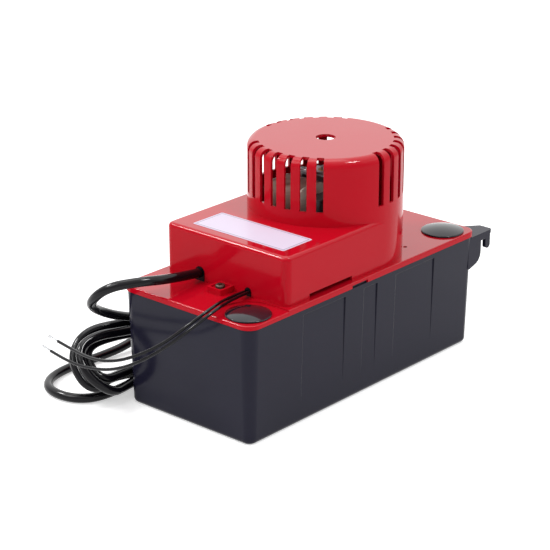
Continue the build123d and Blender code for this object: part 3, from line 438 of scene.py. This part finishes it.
class Finish(Enum):
    """Every finish on the pump."""

    RED_MOULDING = MouldedFinish("red_gloss_moulding", srgb(188, 8, 30), roughness=0.12, drift=0.05,
                                 roughness_drift=0.05, scuffs=0.03, peel=0.03, polish=1.0, specular=0.09)
    TANK_MOULDING = MouldedFinish("black_gloss_tank", srgb(29, 28, 44), roughness=0.15, drift=0.2,
                                  roughness_drift=0.08, scuffs=0.05, peel=0.04, polish=0.4, specular=0.13,
                                  edge_round=0.0007)
    PLUG_MOULDING = MouldedFinish("black_gloss_plug", srgb(26, 26, 34), roughness=0.14, scuffs=0.04,
                                  polish=0.8, specular=0.3)
    CORD_SHEATH = MouldedFinish("black_cord_sheath", srgb(12, 11, 16), roughness=0.14, drift=0.2,
                                scuffs=0.06, peel=0.04, polish=0.7, specular=0.2)
    LABEL_FILM = LabelFinish("label_film", srgb(220, 210, 230), roughness=0.35, drift=0.06, peel=0.02)
    GREY_MOULDING = MouldedFinish("dark_grey_moulding", srgb(58, 58, 62), roughness=0.45, peel=0.1)
    SWITCH_CASE = MouldedFinish("black_switch_case", srgb(36, 36, 38), roughness=0.5, peel=0.12)
    NYLON = MouldedFinish("natural_nylon", srgb(226, 222, 208), roughness=0.4, drift=0.08)
    FLOAT_SKIN = MouldedFinish("float_skin", srgb(232, 230, 222), roughness=0.45, drift=0.08)
    VINYL = MouldedFinish("vinyl_tube", srgb(196, 204, 204), roughness=0.2, drift=0.06)
    WINDING_TAPE = MouldedFinish("winding_tape", srgb(158, 132, 118), roughness=0.5, drift=0.35, peel=0.35)
    # Painted shade: the cover screw and its tarnish are coloured dark brown to stand in for the shade of the
    # deep hole that the screw sits in; the screw itself is bright zinc.
    SHADE_DARKENED_SCREW = MetalFinish("shade_darkened_screw", srgb(104, 92, 84), srgb(60, 48, 42), roughness=0.35)
    PLATED_STEEL = MetalFinish("zinc_plated_steel", srgb(196, 198, 202), srgb(150, 150, 150))
    LAMINATION = MetalFinish("lamination_edge", srgb(118, 118, 122), srgb(84, 78, 74), roughness=0.4,
                             stretch=(60.0, 60.0, 2200.0), relief=0.4)
    BRONZE = MetalFinish("sintered_bronze", srgb(196, 160, 104), srgb(130, 100, 70), roughness=0.35)
    COPPER = MetalFinish("bare_copper", srgb(204, 126, 90), srgb(140, 80, 60), roughness=0.25)
    TINNED = MetalFinish("tinned_strand", srgb(216, 218, 220), srgb(170, 170, 172), roughness=0.22)


NODE_FINISHES: dict[Finish, list[str]] = {
    Finish.RED_MOULDING: ["deck", "motor_cover"],
    Finish.TANK_MOULDING: ["tank"],
    Finish.PLUG_MOULDING: ["inlet_plug_front", "inlet_plug_rear"],
    Finish.CORD_SHEATH: ["mains_bush", "lead_bush", "valve_gasket", "plug_body"],
    Finish.LABEL_FILM: ["rating_label"],
    Finish.GREY_MOULDING: ["pump_column", "volute_housing", "intake_strainer", "check_valve_body",
                           "valve_nut", "discharge_spigot", "float_bracket"],
    Finish.SWITCH_CASE: ["run_switch", "safety_switch"],
    Finish.NYLON: ["coil_bobbin", "cooling_fan", "impeller", "float_arm", "push_rod", "run_switch_plunger",
                   "safety_switch_plunger"],
    Finish.FLOAT_SKIN: ["float"],
    Finish.VINYL: ["discharge_tube"],
    Finish.WINDING_TAPE: ["taped_winding"],
    Finish.SHADE_DARKENED_SCREW: ["cover_screw"],
    Finish.PLATED_STEEL: ["upper_bearing_bracket", "lower_bearing_bracket", "motor_screws", "motor_shaft",
                          "column_screws", "poppet_spring", "float_pivot_pin", "run_switch_lever",
                          "safety_switch_lever", "switch_bracket", "switch_bolt", "bracket_screws"],
    Finish.LAMINATION: ["stator_laminations", "rotor_core"],
    Finish.BRONZE: ["upper_bearing_bush", "lower_bearing_bush", "valve_poppet", "plug_pins"],
    Finish.COPPER: ["shading_rings"],
}


class Workshop:
    """Makes each material once and hands it out."""

    def __init__(self) -> None:
        """Builds the shared effects."""
        self.effects = Effects()
        self.made: dict[Finish, bpy.types.Material] = {}

    def material(self, finish: Finish) -> bpy.types.Material:
        """Hands out a finish's material.

        Args:
            finish: The finish that is asked for.

        Returns:
            Its material, made on first use.
        """
        if finish not in self.made:
            self.made[finish] = finish.value.material(self.effects)
        return self.made[finish]

    def dress(self, piece: bpy.types.Object, finish: Finish) -> None:
        """Puts a finish on a whole piece.

        Args:
            piece: The piece to dress.
            finish: The finish that it gets.
        """
        if not piece.material_slots:
            piece.data.materials.append(None)
        for slot in piece.material_slots:
            slot.material = self.material(finish)


# ---------------------------------------------------------------- geometry helpers
def mesh_piece(name: str, form: bmesh.types.BMesh) -> bpy.types.Object:
    """Turns a finished bmesh into a scene object.

    Args:
        name: The piece's name.
        form: The mesh, which is freed.

    Returns:
        The new object.
    """
    mesh = bpy.data.meshes.new(name)
    bmesh.ops.recalc_face_normals(form, faces=form.faces)
    form.to_mesh(mesh)
    form.free()
    piece = bpy.data.objects.new(name, mesh)
    bpy.context.scene.collection.objects.link(piece)
    return piece


def cord_curve(name: str, points: list[Point], diameter: float) -> bpy.types.Object:
    """A round cord along a smooth spline of control points.

    Args:
        name: The piece's name.
        points: The control points, in metres.
        diameter: The cord's diameter, in metres.

    Returns:
        The curve object.
    """
    curve = bpy.data.curves.new(name, "CURVE")
    curve.dimensions = "3D"
    curve.resolution_u = CORD_STEPS
    curve.bevel_depth = diameter / 2
    curve.bevel_resolution = CORD_ROUNDNESS
    curve.use_fill_caps = True
    spline = curve.splines.new("NURBS")
    spline.points.add(len(points) - 1)
    for control, place in zip(spline.points, points):
        control.co = (*place, 1.0)
    spline.order_u = CORD_ORDER
    spline.use_endpoint_u = True
    piece = bpy.data.objects.new(name, curve)
    bpy.context.scene.collection.objects.link(piece)
    return piece


def metres(points: list[Point]) -> list[Point]:
    """Turns a list of points from millimetres into metres."""
    return [tuple(value * MM for value in point) for point in points]


# ---------------------------------------------------------------- sub-assemblies
@dataclass
class MainsCord:
    """The mains cord: out of the cover's gate, into a loose coil and on to its plug."""

    workshop: Workshop
    diameter: float = 0.007
    length: float = 1.67
    turns: int = 3
    turn_step: float = math.pi / 2
    strand_spread: float = 5.3
    fan_out: float = 0.6
    fan_from: float = -100.0
    fan_over: float = 50.0
    lift: float = 4.0
    bend_centre: tuple[float, float] = (-17.0, 86.3)
    bend_radius: float = 15.5
    bend_rest: float = 9.5
    bend_rise: float = 3.0
    bend_steps: tuple[int, ...] = (75, 45, 15, -15, -45, -75)
    gate_route: list[Point] = field(default_factory=lambda: [
        (-88.0, 24.2, 97.85), (-118, 24.4, 101.5), (-142, 32, 104.5), (-158, 47, 101), (-159, 64, 86),
        (-142, 76, 72), (-116, 78, 58)])
    loop_start: list[Point] = field(default_factory=lambda: [(-62, 88, 32), (-38, 97, 19)])
    loop_return: list[Point] = field(default_factory=lambda: [
        (-44, 71.5, 9), (-74, 71.2, 10), (-104, 70.5, 11), (-130, 70, 10), (-147, 64, 9.5), (-157, 74, 19),
        (-153, 88, 34), (-137, 89, 45), (-112, 80, 47), (-88, 79, 43)])
    tail_route: list[Point] = field(default_factory=lambda: [
        (-95, 76, 3.7), (-122, 74, 3.7), (-146, 76, 3.7), (-158, 90, 3.7), (-158, 112, 3.7), (-144, 127, 3.7),
        (-118, 131, 3.7), (-90, 128, 3.7), (-64, 124, 6), (-38, 124, 12)])

    def coil_points(self) -> list[Point]:
        """Works out the control points of the coil's turns.

        Returns:
            The points in millimetres, each turn a quarter step round the bundle from the last.
        """
        bend = []
        for degrees in self.bend_steps:
            angle = math.radians(degrees)
            bend.append((self.bend_centre[0] + self.bend_radius * math.cos(angle),
                         self.bend_centre[1] + self.bend_radius * math.sin(angle),
                         self.bend_rest + self.bend_rise * max(0.0, math.sin(angle))))
        loop = [Vector(point) for point in self.loop_start + bend + self.loop_return]
        count = len(loop)
        leave = len(self.loop_start) + len(bend) + 1
        centre = sum(loop, Vector()) / count
        points = []
        for step in range(self.turns * count + leave):
            here = loop[step % count]
            along = (loop[(step + 1) % count] - loop[(step - 1) % count]).normalized()
            outward = here - centre
            outward = (outward - along * outward.dot(along)).normalized()
            across = along.cross(outward)
            angle = self.turn_step * step / count
            loose = max(0.0, min(1.0, (self.fan_from - here.x) / self.fan_over))
            reach = self.strand_spread * (1 + self.fan_out * loose)
            place = here + reach * (math.cos(angle) * outward + math.sin(angle) * across)
            place.z += self.lift * loose
            points.append(tuple(place))
        return points

    def build(self) -> None:
        points = metres(self.gate_route + self.coil_points() + self.tail_route)
        cord = cord_curve("mains_cord_sheath", points, self.diameter)
        self.workshop.dress(cord, Finish.CORD_SHEATH)
        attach(cord, "pump_body")
        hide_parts("mains_cord", "mains_cord_coil", "mains_cord_tail")
        log.info("mains cord: %d control points", len(points))


@dataclass
class AlarmLead:
    """One thin alarm lead with its bare, tinned end."""

    workshop: Workshop
    name: str
    node: str
    route: list[Point]
    length: float
    diameter: float = 0.0023
    bare: float = 0.012
    strand: float = 0.00062
    strands: int = 6
    strand_rings: int = 14
    strand_sides: int = 8
    tucked_in: float = 0.0006
    twist: float = 3.2
    twist_reach: float = 0.85
    loosening: float = 0.5

    def build(self) -> None:
        """Makes the lead's sheath and the twisted strands of its end."""
        points = metres(self.route)
        lead = cord_curve(self.name, points, self.diameter)
        self.workshop.dress(lead, Finish.CORD_SHEATH)
        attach(lead, "pump_body")
        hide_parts(self.node)
        end = self.bare_end(Vector(points[-1]), Vector(points[-1]) - Vector(points[-2]))
        log.info("alarm lead %s", self.name)

    def bare_end(self, start: Vector, along: Vector) -> bpy.types.Object:
        """Makes the bare end as strands twisted together that loosen at the tip.

        Args:
            start: Where the sheath stops.
            along: The direction that the lead leaves in.

        Returns:
            The strands as one mesh.
        """
        along = along.normalized()
        side = along.orthogonal().normalized()
        over = along.cross(side)
        form = bmesh.new()
        for index in range(self.strands):
            phase = 2 * math.pi * index / self.strands
            circles = []
            for step in range(self.strand_rings + 1):
                part = step / self.strand_rings
                angle = phase + self.twist * part
                reach = self.strand * (self.twist_reach + self.loosening * part * part)
                centre = start + along * (self.bare * part - self.tucked_in)
                centre = centre + reach * (math.cos(angle) * side + math.sin(angle) * over)
                circle = []
                for corner in range(self.strand_sides):
                    turn = 2 * math.pi * corner / self.strand_sides
                    offset = self.strand / 2 * (math.cos(turn) * side + math.sin(turn) * over)
                    circle.append(form.verts.new(centre + offset))
                circles.append(circle)
            for low, high in zip(circles, circles[1:]):
                for corner in range(self.strand_sides):
                    after = (corner + 1) % self.strand_sides
                    form.faces.new((low[corner], low[after], high[after], high[corner]))
            form.faces.new(circles[0])
            form.faces.new(circles[-1])
        piece = mesh_piece(self.name + "_strands", form)
        piece.data.shade_smooth()
        self.workshop.dress(piece, Finish.TINNED)
        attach(piece, "pump_body")
        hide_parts(self.node + "_end")
        return piece


@dataclass
class Housing:
    """The CAD nodes that keep their own shape and get their finish here."""

    workshop: Workshop

    def dress(self) -> None:
        """Gives every kept node its finish."""
        for finish, names in NODE_FINISHES.items():
            for name in names:
                self.workshop.dress(bpy.data.objects[name], finish)
            log.info("%s: %d nodes", finish.value.name, len(names))


# ---------------------------------------------------------------- studio
@dataclass(frozen=True)
class SoftBox:
    """One square area lamp that looks at the pump."""

    name: str
    place: Point
    size: float
    power: float
    aim: Point = (0.0, 0.0, 0.09)

    def build(self) -> None:
        """Hangs the lamp and turns it to its aim."""
        data = bpy.data.lights.new(self.name, "AREA")
        data.shape = "SQUARE"
        data.size = self.size
        data.energy = self.power
        lamp = bpy.data.objects.new(self.name, data)
        bpy.context.scene.collection.objects.link(lamp)
        lamp.location = self.place
        aim = Vector(self.aim) - Vector(self.place)
        lamp.rotation_euler = aim.to_track_quat("-Z", "Y").to_euler()


@dataclass
class Studio:
    """Floor, soft light and the camera."""

    eye: Point = (-1.0757, -0.9159, 0.6231)
    up: Point = (0.2710, 0.2382, 0.9326)
    ahead: Point = (0.70045, 0.61580, -0.36079)
    lens: float = 133.97
    sensor: float = 36.0
    clip: Band = (0.05, 60.0)
    floor_size: float = 14.0
    floor_shade: float = 0.9
    floor_roughness: float = 0.9
    floor_glow: float = 0.5
    surround: Band = (0.55, 1.0)
    boxes: tuple[SoftBox, ...] = (
        SoftBox("key_box", (-1.3, 0.5, 1.5), 1.0, 9.0),
        SoftBox("fill_box", (0.9, -1.4, 0.9), 1.2, 3.0),
        SoftBox("front_edge_box", (-0.65, 0.95, 1.2), 0.28, 7.0),
        SoftBox("side_edge_box", (0.15, -0.75, 1.4), 0.28, 6.0),
        SoftBox("top_box", (0.2, 0.4, 1.9), 1.2, 6.0))

    def build(self) -> None:
        """Sets up the whole studio: key, fill and overhead boxes, and two that catch the rounded edges."""
        self.camera()
        self.floor()
        self.world()
        for box in self.boxes:
            box.build()
        bpy.context.scene.view_settings.view_transform = "Standard"
        log.info("studio: camera, floor, surround and %d soft boxes", len(self.boxes))

    def camera(self) -> None:
        """Places the camera by the way it looks and its upward axis."""
        data = bpy.data.cameras.new("studio_camera")
        data.lens = self.lens
        data.sensor_width = self.sensor
        data.clip_start, data.clip_end = self.clip
        camera = bpy.data.objects.new("studio_camera", data)
        bpy.context.scene.collection.objects.link(camera)
        ahead = Vector(self.ahead).normalized()
        up = (Vector(self.up) - ahead * Vector(self.up).dot(ahead)).normalized()
        right = ahead.cross(up)
        turn = Matrix((right, up, -ahead)).transposed()
        camera.matrix_world = Matrix.Translation(self.eye) @ turn.to_4x4()
        bpy.context.scene.camera = camera

    def floor(self) -> None:
        """Lays a pale floor that seems as white as the backdrop and keeps the shadow."""
        form = bmesh.new()
        bmesh.ops.create_grid(form, x_segments=1, y_segments=1, size=self.floor_size / 2)
        floor = mesh_piece("studio_floor", form)
        material = bpy.data.materials.new("studio_floor")
        material.use_nodes = True
        plan = NodePlan(material.node_tree)
        plan.feed(material.node_tree.nodes["Principled BSDF"],
                  {"Base Color": (self.floor_shade, self.floor_shade, self.floor_shade, 1),
                   "Roughness": self.floor_roughness, "Emission Color": (1, 1, 1, 1),
                   "Emission Strength": plan.maths("MULTIPLY", self.shown(plan), self.floor_glow)})
        floor.data.materials.append(material)

    @staticmethod
    def shown(plan: NodePlan) -> Socket:
        """Tells rays that show a backdrop from those that light the object.

        Args:
            plan: The plan of the tree that asks.

        Returns:
            A socket that is 1 for camera, glossy and transmission rays.
        """
        path = plan.node("ShaderNodeLightPath", {}).outputs
        seen = plan.maths("MAXIMUM", path["Is Camera Ray"], path["Is Glossy Ray"])
        return plan.maths("MAXIMUM", seen, path["Is Transmission Ray"])

    def world(self) -> None:
        """A dim neutral surround that looks white to the camera and in reflections."""
        world = bpy.data.worlds.new("studio_surround")
        bpy.context.scene.world = world
        world.use_nodes = True
        plan = NodePlan(world.node_tree)
        plan.feed(world.node_tree.nodes["Background"],
                  {"Color": (1, 1, 1, 1), "Strength": plan.within(self.shown(plan), self.surround)})


def main() -> None:
    workshop = Workshop()
    Studio().build()
    MainsCord(workshop).build()
    AlarmLead(workshop, "upper_alarm_lead", "alarm_lead_1", [
        (-88.0, -20.55, 95.45), (-112, -23, 97.6), (-135, -28, 97), (-151, -22, 88), (-158, -6, 73),
        (-168, 12, 61.5), (-172, 31, 54), (-170, 53, 49.5), (-165, 76, 48), (-162, 95, 48.5)], 0.198).build()
    AlarmLead(workshop, "lower_alarm_lead", "alarm_lead_2", [
        (-88.0, -23.25, 95.45), (-112, -26, 96.6), (-135, -31.5, 96.3), (-151, -24, 85.5), (-159, -7, 69.5),
        (-166, 12, 56), (-168, 34, 45.5), (-167, 56, 40), (-165, 80, 37), (-161, 104, 38)], 0.211).build()
    Housing(workshop).dress()


if __name__ == "__main__":
    main()
